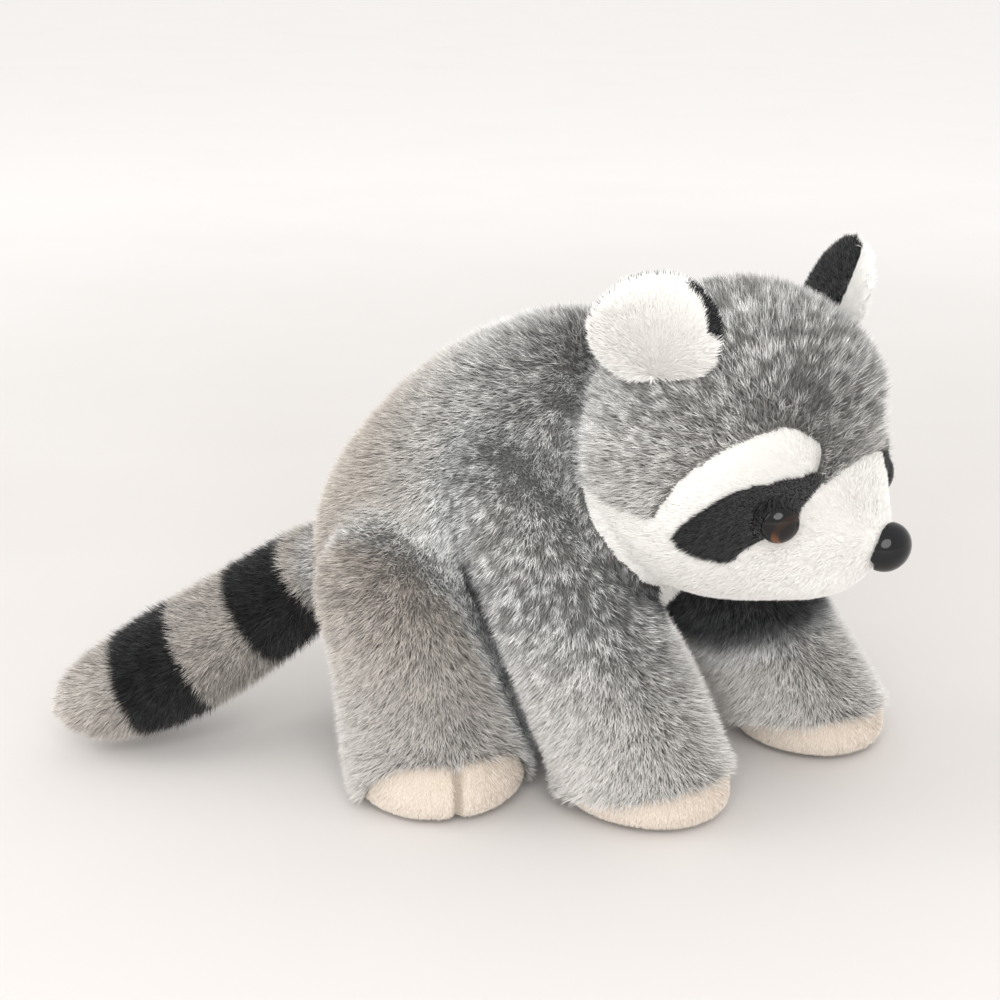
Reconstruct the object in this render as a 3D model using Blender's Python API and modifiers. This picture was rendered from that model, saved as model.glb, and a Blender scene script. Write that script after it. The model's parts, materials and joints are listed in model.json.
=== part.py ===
"""Plush raccoon that stands in a low crouch, sewn from pile fabric over a soft filling.

Metres, +Z up. The raccoon faces +X and its left side is +Y. It rests on the flat soles of four paws.
Each stuffed or sewn piece is one solid. Pieces that are sewn edge to edge keep a small seam gap.
Positions are given in the body's own frame, whose origin is on the floor under the middle of the body.
At the end every piece is moved so that the origin lies under the middle of the whole toy.
"""

import math

import bmesh
import bpy
from mathutils import Euler, Matrix, Vector

SEAM_GAP = 0.0003
PANEL_THICKNESS = 0.003

# Body, an egg that rises from the rump to the shoulders
RUMP_X = -0.0760
RUMP_Z = 0.080
RUMP_RISE = 0.0590
RUMP_DROP = 0.0235
BACK_X = -0.025
BACK_TOP = 0.1630
SHOULDER_X = 0.034
SHOULDER_TOP = 0.1865
CHEST_X = 0.086
CHEST_Z = 0.114
CHEST_HALF_HEIGHT = 0.037
BELLY_Z = 0.0445
BELLY_TUCK = 0.003
BACK_ARCH = 0.003
NECK_DROP = 0.012
BODY_HALF_WIDTH = 0.0535

# Chest panel, set into the front of the body below the head, as an outline seen from the front
CHEST_PANEL_HALF_WIDTH = 0.032
CHEST_PANEL_BOTTOM = 0.052
CHEST_PANEL_TOP = 0.146
CHEST_PANEL_X = 0.030
CHEST_PANEL_POINTS = 16

# Head, turned to the right and held low. Its own frame has +X through the nose
HEAD_CENTRE = (0.090, -0.004, 0.141)
HEAD_YAW = math.radians(-16)
HEAD_PITCH = math.radians(24)
SKULL_HALF_WIDTH = 0.0615
SKULL_TOP = 0.0595
SKULL_BOTTOM = 0.0590
SKULL_BACK = 0.0555
FOREHEAD_X = 0.030
BRIDGE_X = 0.050
BRIDGE_HALF_LENGTH = 0.006
MUZZLE_HALF_WIDTH = 0.025
MUZZLE_TOP = 0.020
MUZZLE_BOTTOM = 0.032
MUZZLE_ROUND = 0.012
NOSE_X = 0.074

# Face panels, as outlines on the head's right side. The muzzle is drawn from the front.
# The others are drawn from the side, along a line turned this far from the nose
SIDE_TURN = math.radians(-50)
MUZZLE_OUTLINE = ((0, 0.026), (-0.013, 0.024), (-0.025, 0.016), (-0.033, 0.003), (-0.038, -0.009),
                  (-0.039, -0.018), (-0.037, -0.040), (-0.030, -0.070))
MUZZLE_PANEL_X = 0.024
MASK_OUTLINE = ((-0.018, -0.016), (-0.0147, -0.002), (-0.005, 0.011), (0.007, 0.017), (0.017, 0.021),
                (0.0215, 0.021), (0.025, 0.014), (0.018, 0), (0.012, -0.009), (0.009, -0.018),
                (0, -0.0185), (-0.0085, -0.020))
BROW_OUTLINE = ((-0.026, -0.013), (-0.0262, -0.001), (-0.022, 0.012), (-0.011, 0.026), (0.003, 0.034),
                (0.013, 0.033), (0.020, 0.029), (0.0185, 0.020), (0.007, 0.015), (-0.003, 0.009),
                (-0.012, -0.002), (-0.016, -0.016))
CHEEK_OUTLINE = ((-0.052, -0.028), (-0.043, -0.020), (-0.033, -0.015), (-0.024, -0.011), (-0.014, -0.014),
                 (0, -0.014), (0.014, -0.014), (0.022, -0.045), (0.020, -0.080), (-0.045, -0.080),
                 (-0.056, -0.050))

# Nose and eyes, each moulded with a shank that passes through the cloth to a locking washer
NOSE_HALF_WIDTH = 0.0098
NOSE_HALF_HEIGHT = 0.0092
NOSE_DEPTH = 0.0085
NOSE_Z = 0.001
NOSE_SINK = 0.001
EYE_RADIUS = 0.0072
EYE_DOME = 0.0050
EYE_SINK = 0.0005
EYE_START_X = 0.020
EYE_START_Y = -0.005
EYE_Z = 0.004
SHANK_RADIUS = 0.0020
SHANK_REACH = 0.0110
SHANK_CLEARANCE = 0.0003
WASHER_RADIUS = 0.0060
WASHER_THICKNESS = 0.0014

# Ears, a white front and a black back sewn together round the rim and cupped forward.
# The back stands a little above the front. The left ear is folded and set further forward
EAR_HALF_WIDTH = 0.0238
EAR_HALF_HEIGHT = 0.0233
EAR_FRONT_DEPTH = 0.0075
EAR_BACK_DEPTH = 0.0060
EAR_CUP = 0.0050
EAR_Y = SKULL_HALF_WIDTH - 0.006
EAR_Z = SKULL_TOP - 0.0135
EAR_PLACES = {"right": (-0.017, -EAR_Y, EAR_Z), "left": (-0.012, EAR_Y + 0.002, EAR_Z - 0.003)}
EAR_TURNS = {"right": math.radians(62), "left": math.radians(52)}
EAR_LEAN = math.radians(10)
EAR_BACK_IN = 0.0020
EAR_BACK_UP = 0.0035

# Forelegs. The right one is planted, and the left one reaches further forward
FORE_SHOULDER_RADIUS = 0.0375
FORE_ANKLE_RADIUS = 0.0320
FORE_SOLE_HALF_LENGTH = 0.039
FORE_SOLE_HALF_WIDTH = 0.0345
FORE_RIGHT_SHOULDER = (0.010, -0.030, 0.154)
FORE_RIGHT_SOLE = (0.069, -0.024, 0)
FORE_RIGHT_TOES = math.radians(-16)
FORE_LEFT_SHOULDER = (0.056, 0.036, 0.124)
FORE_LEFT_SOLE = (0.110, 0.061, 0)
FORE_LEFT_TOES = math.radians(-42)
FORE_PAD_RISE = 0.021

# Hind legs, splayed
HIND_HIP_RADIUS = 0.0385
HIND_ANKLE_RADIUS = 0.0325
HIND_SOLE_HALF_LENGTH = 0.037
HIND_SOLE_HALF_WIDTH = 0.0375
HIND_HIP = (-0.030, 0.034, 0.116)
HIND_SOLE = (-0.007, 0.045, 0)
HIND_TOES = math.radians(53)
HIND_PAD_RISE = 0.028
HIND_LOBE_HALF_WIDTH = 0.0175
LOBE_ARCH = 0.16
CREASE_RADIUS = 0.0011

# The pads wrap up over the toes and thin out to this height at the heel
HEEL_PAD_RISE = 0.003
SOLE_ROUND = 0.010

# Tail, five pieces sewn end to end along a curve from the rump to the floor, with seams a little askew
TAIL_ROUTE = ((-0.058, -0.001, 0.083), (-0.085, -0.013, 0.0605), (-0.111, -0.031, 0.0405),
              (-0.133, -0.051, 0.0275), (-0.154, -0.067, 0.0200))
TAIL_RADII = (0.0180, 0.0210, 0.0235, 0.0250, 0.0225, 0.0165)
TAIL_SEAMS = (0.17, 0.35, 0.55, 0.77)
TAIL_SEAM_SKEW = math.radians(20)
TAIL_ROOT_DOME = 0.006

# Colours as linear RGB
GREY_FUR = (0.26, 0.245, 0.23)
WHITE_PLUSH = (0.86, 0.83, 0.80)
CHEST_PLUSH = (0.62, 0.60, 0.58)
BLACK_PLUSH = (0.012, 0.012, 0.013)
BEIGE_VELOUR = (0.56, 0.50, 0.43)
NOSE_PLASTIC = (0.006, 0.007, 0.008)
EYE_PLASTIC = (0.05, 0.02, 0.008)
WASHER_PLASTIC = (0.75, 0.75, 0.72)

# Fineness of the round forms
RING_SIDES = 10
HEAD_SIDES = 12
EAR_SIDES = 20
DOME_SIDES = 16
DISC_SIDES = 16
SHANK_SIDES = 12
ROWS = 10
LOBE_STEPS = 6
CREASE_STEPS = 8
SMOOTHING = 1

# Cutters pass the skin by the first length, and those that must pass the whole toy by the second
OVERCUT = 0.010
REACH = 0.2

FORWARD = Vector((1, 0, 0))
LEFT = Vector((0, 1, 0))
UP = Vector((0, 0, 1))


def clear_scene():
    for obj in list(bpy.data.objects):
        bpy.data.objects.remove(obj, do_unlink=True)


def new_collection(name):
    collection = bpy.data.collections.new(name)
    bpy.context.scene.collection.children.link(collection)
    return collection


def material(name, colour, roughness=0.9, coat=0.0):
    mat = bpy.data.materials.new(name)
    mat.use_nodes = True
    shader = mat.node_tree.nodes["Principled BSDF"]
    shader.inputs["Base Color"].default_value = (*colour, 1)
    shader.inputs["Roughness"].default_value = roughness
    shader.inputs["Coat Weight"].default_value = coat
    mat.diffuse_color = (*colour, 1)
    return mat


def object_from(bm, name, collection):
    bmesh.ops.recalc_face_normals(bm, faces=bm.faces)
    mesh = bpy.data.meshes.new(name)
    bm.to_mesh(mesh)
    bm.free()
    obj = bpy.data.objects.new(name, mesh)
    collection.objects.link(obj)
    return obj


def helper(obj):
    """Marks an object as a cutter, which is not a piece of the toy."""
    obj.hide_render = True
    obj.display_type = "WIRE"
    return obj


def ring(centre, side, up, half_width, above, below, sides=RING_SIDES):
    """Points round an oval that may reach further above its centre than below it."""
    # A subdivided ring draws in to this share of its cage
    shrink = (2 + math.cos(math.tau / sides)) / 3
    points = []
    for k in range(sides):
        angle = math.tau * k / sides
        height = above if math.sin(angle) > 0 else below
        across = side * (half_width * math.cos(angle))
        points.append(centre + (across + up * (height * math.sin(angle))) / shrink)
    return points


def stuffed(name, start, rings, end, collection, levels=SMOOTHING):
    """A soft form: a cage through rings of points, closed at a pole at each end and then subdivided."""
    bm = bmesh.new()
    rows = [[bm.verts.new(point) for point in points] for points in rings]
    sides = len(rows[0])
    for lower, upper in zip(rows, rows[1:]):
        for k in range(sides):
            after = (k + 1) % sides
            bm.faces.new((lower[k], lower[after], upper[after], upper[k]))
    for pole, row in ((start, rows[0]), (end, rows[-1])):
        tip = bm.verts.new(pole)
        for k in range(sides):
            bm.faces.new((row[k], row[(k + 1) % sides], tip))
    obj = object_from(bm, name, collection)
    soft = obj.modifiers.new("soft", "SUBSURF")
    soft.levels = levels
    soft.render_levels = levels
    return baked(obj)


def baked(obj):
    """Applies the object's modifiers."""
    graph = bpy.context.evaluated_depsgraph_get()
    graph.update()
    mesh = bpy.data.meshes.new_from_object(obj.evaluated_get(graph))
    obj.modifiers.clear()
    obj.data = mesh
    return obj


def grown(obj, distance, name, collection):
    """A copy pushed outward along its normals, or inward where the distance is negative."""
    bm = bmesh.new()
    bm.from_mesh(obj.data)
    bmesh.ops.recalc_face_normals(bm, faces=bm.faces)
    bm.normal_update()
    moves = [(v, v.normal * distance) for v in bm.verts]
    for v, move in moves:
        v.co += move
    copy = object_from(bm, name, collection)
    return helper(copy)


def boolean(obj, other, operation, solver="MANIFOLD"):
    """Cuts or joins. The faces here cross at slight angles, which the manifold solver holds together."""
    step = obj.modifiers.new(operation.lower(), "BOOLEAN")
    step.operation = operation
    step.object = other
    step.solver = solver
    return baked(obj)


def copy_of(obj, name, collection):
    copy = bpy.data.objects.new(name, obj.data.copy())
    collection.objects.link(copy)
    return copy


def largest_body(obj):
    """Drops the crumbs that a cut leaves beside the piece itself."""
    bm = bmesh.new()
    bm.from_mesh(obj.data)
    left = set(bm.verts)
    bodies = []
    while left:
        body = {left.pop()}
        edge_of = set(body)
        while edge_of:
            near = {e.other_vert(v) for v in edge_of for e in v.link_edges} - body
            body |= near
            edge_of = near
        left -= body
        bodies.append(body)
    keep = max(bodies, key=len)
    bmesh.ops.delete(bm, geom=[v for v in bm.verts if v not in keep], context="VERTS")
    bm.to_mesh(obj.data)
    bm.free()
    return obj


def prism(name, outline, place, depth, collection):
    """A cutter: a closed outline in its frame's YZ plane, drawn out along the frame's +X."""
    bm = bmesh.new()
    near = [bm.verts.new(place @ Vector((0, y, z))) for y, z in outline]
    far = [bm.verts.new(place @ Vector((depth, y, z))) for y, z in outline]
    count = len(outline)
    for k in range(count):
        after = (k + 1) % count
        bm.faces.new((near[k], near[after], far[after], far[k]))
    bm.faces.new(near)
    bm.faces.new(far)
    return helper(object_from(bm, name, collection))


def rounded(points, steps=2):
    """A closed smooth outline through a few chosen points."""
    count = len(points)
    outline = []
    for k in range(count):
        before, a, b, after = (Vector(points[(k + i - 1) % count]) for i in range(4))
        for i in range(steps):
            t = i / steps
            outline.append(
                0.5 * (2 * a + (b - before) * t + (2 * before - 5 * a + 4 * b - after) * t**2
                       + (3 * a - before - 3 * b + after) * t**3)
            )
    return [(p.x, p.y) for p in outline]


def mirrored(points):
    return [(-y, z) for y, z in reversed(points)]


def make_body(cutters):
    """Torso form: rings across the body from the rump to the chest."""
    def across(x, top, bottom, half_width):
        middle = (top + bottom) / 2
        tall = (top - bottom) / 2
        return ring(Vector((x, 0, middle)), LEFT, UP, half_width, tall, tall)

    length = CHEST_X - RUMP_X
    middle_top = (BACK_TOP + SHOULDER_TOP) / 2
    rings = [
        across(RUMP_X + 0.05 * length, RUMP_Z + 0.60 * RUMP_RISE, RUMP_Z - RUMP_DROP, BODY_HALF_WIDTH * 0.60),
        across(RUMP_X + 0.17 * length, RUMP_Z + RUMP_RISE, BELLY_Z + BELLY_TUCK, BODY_HALF_WIDTH * 0.90),
        across(BACK_X, BACK_TOP, BELLY_Z, BODY_HALF_WIDTH),
        across((BACK_X + SHOULDER_X) / 2, middle_top + BACK_ARCH, BELLY_Z, BODY_HALF_WIDTH),
        across(SHOULDER_X, SHOULDER_TOP, BELLY_Z + 2 * BELLY_TUCK, BODY_HALF_WIDTH * 0.94),
        across(CHEST_X - 0.16 * length, SHOULDER_TOP - NECK_DROP, BELLY_Z + 6 * BELLY_TUCK,
               BODY_HALF_WIDTH * 0.78),
        across(CHEST_X - 0.05 * length, CHEST_Z + CHEST_HALF_HEIGHT, CHEST_Z - CHEST_HALF_HEIGHT,
               BODY_HALF_WIDTH * 0.46),
    ]
    return stuffed("torso_form", Vector((RUMP_X, 0, RUMP_Z)), rings,
                   Vector((CHEST_X, 0, CHEST_Z)), cutters)


def head_frame():
    turn = Euler((0, HEAD_PITCH, HEAD_YAW)).to_matrix().to_4x4()
    return Matrix.Translation(HEAD_CENTRE) @ turn


def make_head_form(place, cutters):
    """Skull and muzzle in one form, ring by ring from the back of the skull to the nose."""
    def across(x, half_width, top, bottom):
        local = ring(Vector((x, 0, 0)), LEFT, UP, half_width, top, bottom, HEAD_SIDES)
        return [place @ point for point in local]

    rings = [
        across(-SKULL_BACK * 0.86, SKULL_HALF_WIDTH * 0.52, SKULL_TOP * 0.52, SKULL_BOTTOM * 0.50),
        across(-SKULL_BACK * 0.56, SKULL_HALF_WIDTH * 0.84, SKULL_TOP * 0.84, SKULL_BOTTOM * 0.82),
        across(-SKULL_BACK * 0.20, SKULL_HALF_WIDTH, SKULL_TOP, SKULL_BOTTOM),
        across(FOREHEAD_X * 0.40, SKULL_HALF_WIDTH, SKULL_TOP, SKULL_BOTTOM),
        across(FOREHEAD_X, SKULL_HALF_WIDTH * 0.89, SKULL_TOP * 0.92, SKULL_BOTTOM * 0.92),
        across(BRIDGE_X - BRIDGE_HALF_LENGTH, SKULL_HALF_WIDTH * 0.64, SKULL_TOP * 0.66, SKULL_BOTTOM * 0.76),
        across(BRIDGE_X + BRIDGE_HALF_LENGTH, MUZZLE_HALF_WIDTH * 1.06, MUZZLE_TOP * 1.12,
               MUZZLE_BOTTOM * 1.16),
        across(NOSE_X - MUZZLE_ROUND, MUZZLE_HALF_WIDTH * 0.84, MUZZLE_TOP * 0.72, MUZZLE_BOTTOM),
        across(NOSE_X - MUZZLE_ROUND / 4, MUZZLE_HALF_WIDTH * 0.48, MUZZLE_TOP * 0.36, MUZZLE_BOTTOM * 0.68),
    ]
    return stuffed("head_form", place @ Vector((-SKULL_BACK, 0, 0)), rings,
                   place @ Vector((NOSE_X, 0, 0)), cutters)


def make_panels(head, place, cutters, toy):
    """Sews the face: shells in the head's surface, each in a pocket of its own, edge to edge."""
    side = place @ Matrix.Rotation(SIDE_TURN, 4, "Z")
    front = place @ Matrix.Translation((MUZZLE_PANEL_X, 0, 0))
    muzzle_edge = rounded(list(MUZZLE_OUTLINE) + mirrored(MUZZLE_OUTLINE)[:-1])
    areas = {
        "muzzle": prism("muzzle_area", muzzle_edge, front, REACH, cutters),
        "eye_mask": prism("mask_area", rounded(MASK_OUTLINE), side, REACH, cutters),
        "brow": prism("brow_area", rounded(BROW_OUTLINE), side, REACH, cutters),
        "cheek": prism("cheek_area", rounded(CHEEK_OUTLINE), side, REACH, cutters),
    }
    lining = grown(head, -PANEL_THICKNESS, "lining", cutters)
    filling = grown(head, -PANEL_THICKNESS - SEAM_GAP, "filling", cutters)
    to_midline = [(-REACH, -REACH), (-SEAM_GAP / 2, -REACH), (-SEAM_GAP / 2, REACH), (-REACH, REACH)]
    half = prism("right_half", to_midline, place @ Matrix.Translation((-REACH / 2, 0, 0)), REACH, cutters)
    panels = {}
    pockets = []
    sewn = []
    for name, area in areas.items():
        panel = copy_of(head, name, toy)
        boolean(panel, lining, "DIFFERENCE")
        boolean(panel, area, "INTERSECT")
        if name == "cheek":
            boolean(panel, half, "INTERSECT")
        for other in sewn:
            boolean(panel, other, "DIFFERENCE")
        panels[name] = largest_body(panel)
        room = grown(area, SEAM_GAP, name + "_room", cutters)
        sewn.append(room)
        if name == "cheek":
            over = grown(half, 2 * SEAM_GAP, "cheek_side", cutters)
            room = helper(copy_of(room, "cheek_pocket", cutters))
            boolean(room, over, "INTERSECT")
        pockets.append(room)
    flip = place @ Matrix.Diagonal((1, -1, 1, 1)) @ place.inverted()
    for name in ("eye_mask", "brow", "cheek"):
        right = panels.pop(name)
        panels[name + "_left"] = reflected(right, flip, name + "_left", toy)
        right.name = name + "_right"
        panels[name + "_right"] = right
    for pocket in pockets:
        boolean(head, pocket, "DIFFERENCE")
        if not pocket.name.startswith("muzzle"):
            boolean(head, helper(reflected(pocket, flip, pocket.name + "_left", cutters)), "DIFFERENCE")
    boolean(head, filling, "UNION")
    largest_body(head)
    return panels


def reflected(obj, flip, name, collection):
    copy = copy_of(obj, name, collection)
    copy.data.transform(flip)
    copy.data.flip_normals()
    return copy


def cylinder(name, radius, start, end, collection, sides=SHANK_SIDES):
    bm = bmesh.new()
    span = end - start
    turn = span.to_track_quat("Z", "Y").to_matrix().to_4x4()
    place = Matrix.Translation((start + end) / 2) @ turn
    bmesh.ops.create_cone(bm, cap_ends=True, segments=sides, radius1=radius, radius2=radius,
                          depth=span.length, matrix=place)
    return object_from(bm, name, collection)


def ellipsoid(name, place, half_sizes, collection):
    bm = bmesh.new()
    bmesh.ops.create_uvsphere(bm, u_segments=DOME_SIDES, v_segments=ROWS, radius=1,
                              matrix=place @ Matrix.Diagonal((*half_sizes, 1)))
    return object_from(bm, name, collection)


def on_skin(form, origin, direction):
    """Where a line leaves the form, and the form's outward normal there."""
    _, point, normal, _ = form.ray_cast(origin + direction * REACH, -direction)
    return point, normal


def lock_into_cloth(name, form, skin, head, panel, point, normal, toy, cutters):
    """Seats a moulded dome on the cloth, gives it a shank and locks it with a washer inside the head."""
    boolean(form, skin, "DIFFERENCE")
    largest_body(form)
    top = point + normal * SEAM_GAP * 4
    end = point - normal * SHANK_REACH
    shank = helper(cylinder(name + "_shank", SHANK_RADIUS, end, top, cutters))
    boolean(form, shank, "UNION")
    over = normal * OVERCUT
    for cloth in panel:
        hole = helper(cylinder(name + "_hole", SHANK_RADIUS + SHANK_CLEARANCE, end, point + over * 2, cutters))
        boolean(cloth, hole, "DIFFERENCE")
    seat = point - normal * (PANEL_THICKNESS + 3 * SEAM_GAP)
    washer = cylinder(name + "_washer", WASHER_RADIUS, seat - normal * WASHER_THICKNESS, seat, toy, DISC_SIDES)
    bore = helper(cylinder(name + "_bore", SHANK_RADIUS + SHANK_CLEARANCE, seat - over, seat + over, cutters))
    boolean(washer, bore, "DIFFERENCE")
    for cloth in panel:
        boolean(washer, grown(cloth, SEAM_GAP, name + "_clear", cutters), "DIFFERENCE")
    largest_body(washer)
    room = helper(cylinder(name + "_room", WASHER_RADIUS + SEAM_GAP, end - normal * SEAM_GAP * 3,
                           point + over, cutters, DISC_SIDES))
    boolean(head, room, "DIFFERENCE")


def make_ear(side, head_room, place, toy, cutters):
    """One ear: half of a lens for each cloth, bent round its middle."""
    sign = -1 if side == "right" else 1
    turned = (Matrix.Translation(EAR_PLACES[side])
              @ Matrix.Rotation(sign * EAR_TURNS[side], 4, "Z") @ Matrix.Rotation(EAR_LEAN, 4, "Y"))
    ears = []
    for face, depth, facing in (("front", EAR_FRONT_DEPTH, 1), ("back", EAR_BACK_DEPTH, -1)):
        shift = (0, -sign * EAR_BACK_IN, EAR_BACK_UP) if face == "back" else (0, 0, 0)
        local = turned @ Matrix.Translation(shift)
        bm = bmesh.new()
        bmesh.ops.create_uvsphere(bm, u_segments=EAR_SIDES, v_segments=ROWS, radius=1,
                                  matrix=Matrix.Diagonal((depth, EAR_HALF_WIDTH, EAR_HALF_HEIGHT, 1)))
        cut = bmesh.ops.bisect_plane(bm, geom=bm.verts[:] + bm.edges[:] + bm.faces[:],
                                     plane_co=(facing * SEAM_GAP / 2, 0, 0), plane_no=(-facing, 0, 0),
                                     clear_outer=True)
        rim = [e for e in cut["geom_cut"] if isinstance(e, bmesh.types.BMEdge)]
        bmesh.ops.triangle_fill(bm, edges=rim, use_beauty=True)
        for v in bm.verts:
            v.co.x += EAR_CUP * (v.co.y / EAR_HALF_WIDTH) ** 2
            v.co = place @ local @ v.co
        ear = object_from(bm, f"ear_{face}_{side}", toy)
        boolean(ear, head_room, "DIFFERENCE")
        if ears:
            boolean(ear, grown(ears[0], SEAM_GAP, ear.name + "_room", cutters), "DIFFERENCE")
        ears.append(largest_body(ear))


def make_leg(name, top, sole, toes, radii, sole_half, pad_rise, rooms, toy, cutters, lobes=0):
    """One stuffed leg with the velour pad under its foot, cut from one form."""
    top_radius, ankle_radius = radii
    half_length, half_width = sole_half
    ahead = Vector((math.cos(toes), math.sin(toes), 0))
    beside = UP.cross(ahead)
    top = Vector(top)
    sole = Vector(sole)

    def level(height, lean, along, back, across):
        centre = top.lerp(sole, lean)
        centre.z = height
        return ring(centre, beside, ahead, across, along, back)

    height = top.z
    low = SOLE_ROUND
    rings = [
        level(height * 0.93, 0.05, top_radius * 0.62, top_radius * 0.62, top_radius * 0.62),
        level(height * 0.72, 0.25, top_radius, top_radius, top_radius),
        level(height * 0.48, 0.52, ankle_radius * 1.04, ankle_radius * 1.02, ankle_radius),
        level(height * 0.28, 0.80, half_length * 0.93, half_length * 0.91, half_width * 0.95),
        level(low, 1, half_length, half_length * 0.94, half_width),
        level(low * 0.25, 1, half_length * 0.90, half_length * 0.88, half_width * 0.88),
        level(-low * 0.35, 1, half_length * 0.70, half_length * 0.70, half_width * 0.70),
    ]
    leg = stuffed(name + "_leg", top, rings, Vector((sole.x, sole.y, -low * 0.4)), toy)
    around = grown(leg, SEAM_GAP, name + "_around", cutters)
    ground = prism(name + "_ground", [(-REACH, -REACH), (REACH, -REACH), (REACH, 0), (-REACH, 0)],
                   Matrix.Translation((-REACH, 0, 0)), 2 * REACH, cutters)
    boolean(leg, ground, "DIFFERENCE")
    for room in rooms:
        boolean(leg, room, "DIFFERENCE")
    largest_body(leg)
    foot = Matrix.Translation((sole.x, sole.y, 0)) @ Matrix.Rotation(toes, 4, "Z")
    if lobes:
        area = toe_lobes(name + "_pad_area", foot, half_length, half_width, pad_rise, lobes, cutters)
    else:
        area = sloped_area(name + "_pad_area", foot, half_length, half_width, pad_rise, cutters)
    pad = copy_of(leg, name + "_pad", toy)
    boolean(pad, area, "INTERSECT")
    largest_body(pad)
    boolean(leg, grown(area, SEAM_GAP, name + "_pad_room", cutters), "DIFFERENCE")
    largest_body(leg)
    if lobes:
        crease_toes(pad, foot, half_length, pad_rise, cutters)
    return around


def toe_lobes(name, foot, half_length, half_width, rise, lobes, cutters):
    """What lies under the pad's seam where it rises in round toe lobes over a thin sole."""
    wide = half_width + 2 * OVERCUT
    edge = []
    for k in range(lobes):
        middle = (k - (lobes - 1) / 2) * 2 * HIND_LOBE_HALF_WIDTH
        for step in range(LOBE_STEPS + 1):
            angle = math.pi * step / LOBE_STEPS
            edge.append((middle - (HIND_LOBE_HALF_WIDTH - SEAM_GAP) * math.cos(angle),
                         rise * (1 - LOBE_ARCH) + rise * LOBE_ARCH * math.sin(angle)))
    edge += [(HIND_LOBE_HALF_WIDTH * lobes, -OVERCUT), (-HIND_LOBE_HALF_WIDTH * lobes, -OVERCUT)]
    toe = prism(name, edge, foot, half_length + 3 * OVERCUT, cutters)
    flat = [(-wide, -OVERCUT), (wide, -OVERCUT), (wide, HEEL_PAD_RISE), (-wide, HEEL_PAD_RISE)]
    heel = foot @ Matrix.Translation((-half_length - 2 * OVERCUT, 0, 0))
    sole = prism(name + "_sole", flat, heel, 2 * half_length + 4 * OVERCUT, cutters)
    return boolean(toe, sole, "UNION")


def sloped_area(name, foot, half_length, half_width, rise, cutters):
    """What lies under the pad's seam where it slopes up from the heel to the toes."""
    wide = half_width + 2 * OVERCUT
    far = half_length + 2 * OVERCUT
    middle = (rise + HEEL_PAD_RISE) / 2
    slope = (rise - HEEL_PAD_RISE) / (2 * half_length)
    back = max(middle - slope * far, SEAM_GAP)
    across = Matrix.Rotation(math.radians(90), 4, "Z")
    profile = [(-far, -OVERCUT), (far, -OVERCUT), (far, back), (-far, middle + slope * far)]
    return prism(name, profile, foot @ Matrix.Translation((0, -wide, 0)) @ across, 2 * wide, cutters)


def crease_toes(pad, foot, half_length, rise, cutters):
    """Presses the stitched line between two toes into the front of the pad."""
    ahead = foot.to_3x3() @ FORWARD
    far = half_length + 2 * OVERCUT
    line = bpy.data.curves.new(pad.name + "_line", "CURVE")
    line.dimensions = "3D"
    line.bevel_depth = CREASE_RADIUS
    line.bevel_resolution = 2
    line.use_fill_caps = True
    spline = line.splines.new("POLY")
    route = []
    for step in range(CREASE_STEPS + 1):
        z = HEEL_PAD_RISE + (rise * 1.1 - HEEL_PAD_RISE) * step / CREASE_STEPS
        hit, point, _, _ = pad.ray_cast(foot @ Vector((far, 0, z)), -ahead, distance=far)
        if hit:
            route.append(point)
    route.append(route[-1] - ahead * OVERCUT)
    spline.points.add(len(route) - 1)
    for point, place in zip(spline.points, route):
        point.co = (*place, 1)
    guide = bpy.data.objects.new(pad.name + "_guide", line)
    cutters.objects.link(guide)
    graph = bpy.context.evaluated_depsgraph_get()
    mesh = bpy.data.meshes.new_from_object(guide.evaluated_get(graph))
    bm = bmesh.new()
    bm.from_mesh(mesh)
    bmesh.ops.remove_doubles(bm, verts=bm.verts, dist=1e-6)
    groove = helper(object_from(bm, pad.name + "_crease", cutters))
    bpy.data.objects.remove(guide, do_unlink=True)
    boolean(pad, groove, "DIFFERENCE")
    largest_body(pad)


def along(route, share):
    """A point on the smooth curve through the route's points, and the curve's direction there."""
    points = [Vector(p) for p in route]
    first = points[0] * 2 - points[1]
    last = points[-1] * 2 - points[-2]
    points = [first] + points + [last]
    spans = len(points) - 3
    at = min(share, 0.9999) * spans
    k = int(at)
    t = at - k
    before, a, b, after = points[k:k + 4]
    place = 0.5 * (2 * a + (b - before) * t + (2 * before - 5 * a + 4 * b - after) * t**2
                   + (3 * a - before - 3 * b + after) * t**3)
    way = 0.5 * ((b - before) + 2 * (2 * before - 5 * a + 4 * b - after) * t
                 + 3 * (3 * a - before - 3 * b + after) * t**2)
    return place, way.normalized()


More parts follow.
